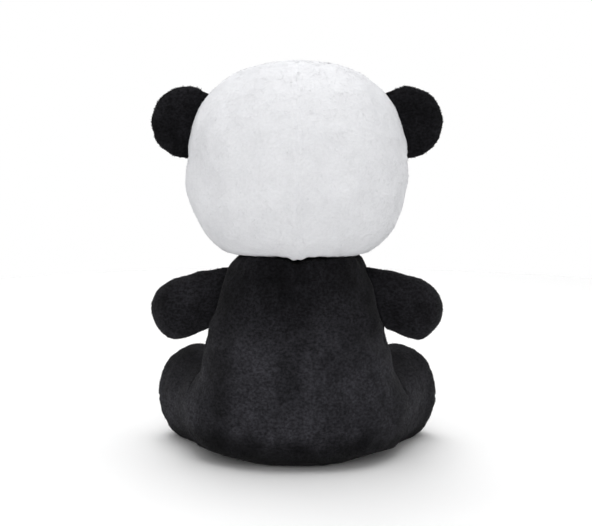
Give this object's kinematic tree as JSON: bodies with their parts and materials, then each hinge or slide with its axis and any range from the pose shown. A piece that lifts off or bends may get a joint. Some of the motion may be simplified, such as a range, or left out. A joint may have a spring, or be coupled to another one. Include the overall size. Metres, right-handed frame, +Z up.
{
  "type": "plush panda",
  "caption": "Seated plush panda with a round white head, black ears, body and limbs, padded and sewn from short-pile plush, with a flexible neck, ears, arms and legs.",
  "frame": {"origin": "middle of the flat seat, on the surface the toy rests on", "axes": "+Z up, -Y the way the face looks, +X to the toy's own left side"},
  "size_m": [0.1852, 0.1337, 0.25],
  "materials": {
    "white_plush": "short soft pile",
    "black_plush": "short soft pile",
    "fibre_filling": "loose polyester fibre",
    "bag_cloth": "plain woven",
    "black_thread": "satin stitched thread",
    "eye_plastic": "polished",
    "washer_plastic": "moulded"
  },
  "bodies": {
    "torso": {"body_back_left": "black_plush", "body_back_right": "black_plush", "chest_panel": "black_plush", "belly_panel": "white_plush", "seat_panel": "black_plush", "body_filling": "fibre_filling", "pellet_bag": "bag_cloth"},
    "neck": {"neck_filling": "fibre_filling"},
    "head": {"head_back_left": "white_plush", "head_back_right": "white_plush", "face_panel": "white_plush", "head_filling": "fibre_filling", "muzzle_panel": "white_plush", "muzzle_filling": "fibre_filling", "nose_embroidery": "black_thread", "mouth_embroidery": "black_thread", "eye_patch_left": "black_plush", "eye_patch_right": "black_plush", "eye_left": "eye_plastic", "eye_right": "eye_plastic", "eye_washer_left": "washer_plastic", "eye_washer_right": "washer_plastic"},
    "ear_left": {"ear_back_left": "black_plush", "ear_front_left": "black_plush", "ear_filling_left": "fibre_filling"},
    "ear_right": {"ear_back_right": "black_plush", "ear_front_right": "black_plush", "ear_filling_right": "fibre_filling"},
    "arm_left": {"arm_back_left": "black_plush", "arm_front_left": "black_plush", "arm_filling_left": "fibre_filling"},
    "arm_right": {"arm_back_right": "black_plush", "arm_front_right": "black_plush", "arm_filling_right": "fibre_filling"},
    "leg_left": {"leg_top_left": "black_plush", "leg_bottom_left": "black_plush", "foot_sole_left": "black_plush", "leg_filling_left": "fibre_filling"},
    "leg_right": {"leg_top_right": "black_plush", "leg_bottom_right": "black_plush", "foot_sole_right": "black_plush", "leg_filling_right": "fibre_filling"}
  },
  "joints": [
    {"name": "neck_turn", "type": "hinge", "parent": "torso", "child": "neck", "pos_m": [0, 0, 0.1], "axis": [0, 0, 1], "range_deg": [-30, 30], "stiffness_Nm_per_rad": 0.5},
    {"name": "head_nod", "type": "hinge", "parent": "neck", "child": "head", "pos_m": [0, 0, 0.1], "axis": [1, 0, 0], "range_deg": [-12, 15], "stiffness_Nm_per_rad": 1.2},
    {"name": "ear_left_fold", "type": "hinge", "parent": "head", "child": "ear_left", "pos_m": [0.063, -0.001, 0.21], "axis": [0.3256, 0, -0.9455], "range_deg": [-40, 40], "stiffness_Nm_per_rad": 0.03},
    {"name": "ear_right_fold", "type": "hinge", "parent": "head", "child": "ear_right", "pos_m": [-0.063, -0.001, 0.21], "axis": [0.3256, 0, 0.9455], "range_deg": [-40, 40], "stiffness_Nm_per_rad": 0.03},
    {"name": "arm_left_swing", "type": "hinge", "parent": "torso", "child": "arm_left", "pos_m": [0.052, 0, 0.1005], "axis": [0.337, -0.0713, -0.9388], "range_deg": [-35, 30], "stiffness_Nm_per_rad": 0.1},
    {"name": "arm_right_swing", "type": "hinge", "parent": "torso", "child": "arm_right", "pos_m": [-0.052, 0, 0.1005], "axis": [0.337, 0.0713, 0.9388], "range_deg": [-35, 30], "stiffness_Nm_per_rad": 0.1},
    {"name": "leg_left_swing", "type": "hinge", "parent": "torso", "child": "leg_left", "pos_m": [0.039, -0.01, 0.0275], "axis": [0, 0, 1], "range_deg": [-15, 12], "stiffness_Nm_per_rad": 0.2},
    {"name": "leg_right_swing", "type": "hinge", "parent": "torso", "child": "leg_right", "pos_m": [-0.039, -0.01, 0.0275], "axis": [0, 0, -1], "range_deg": [-15, 12], "stiffness_Nm_per_rad": 0.2}
  ]
}
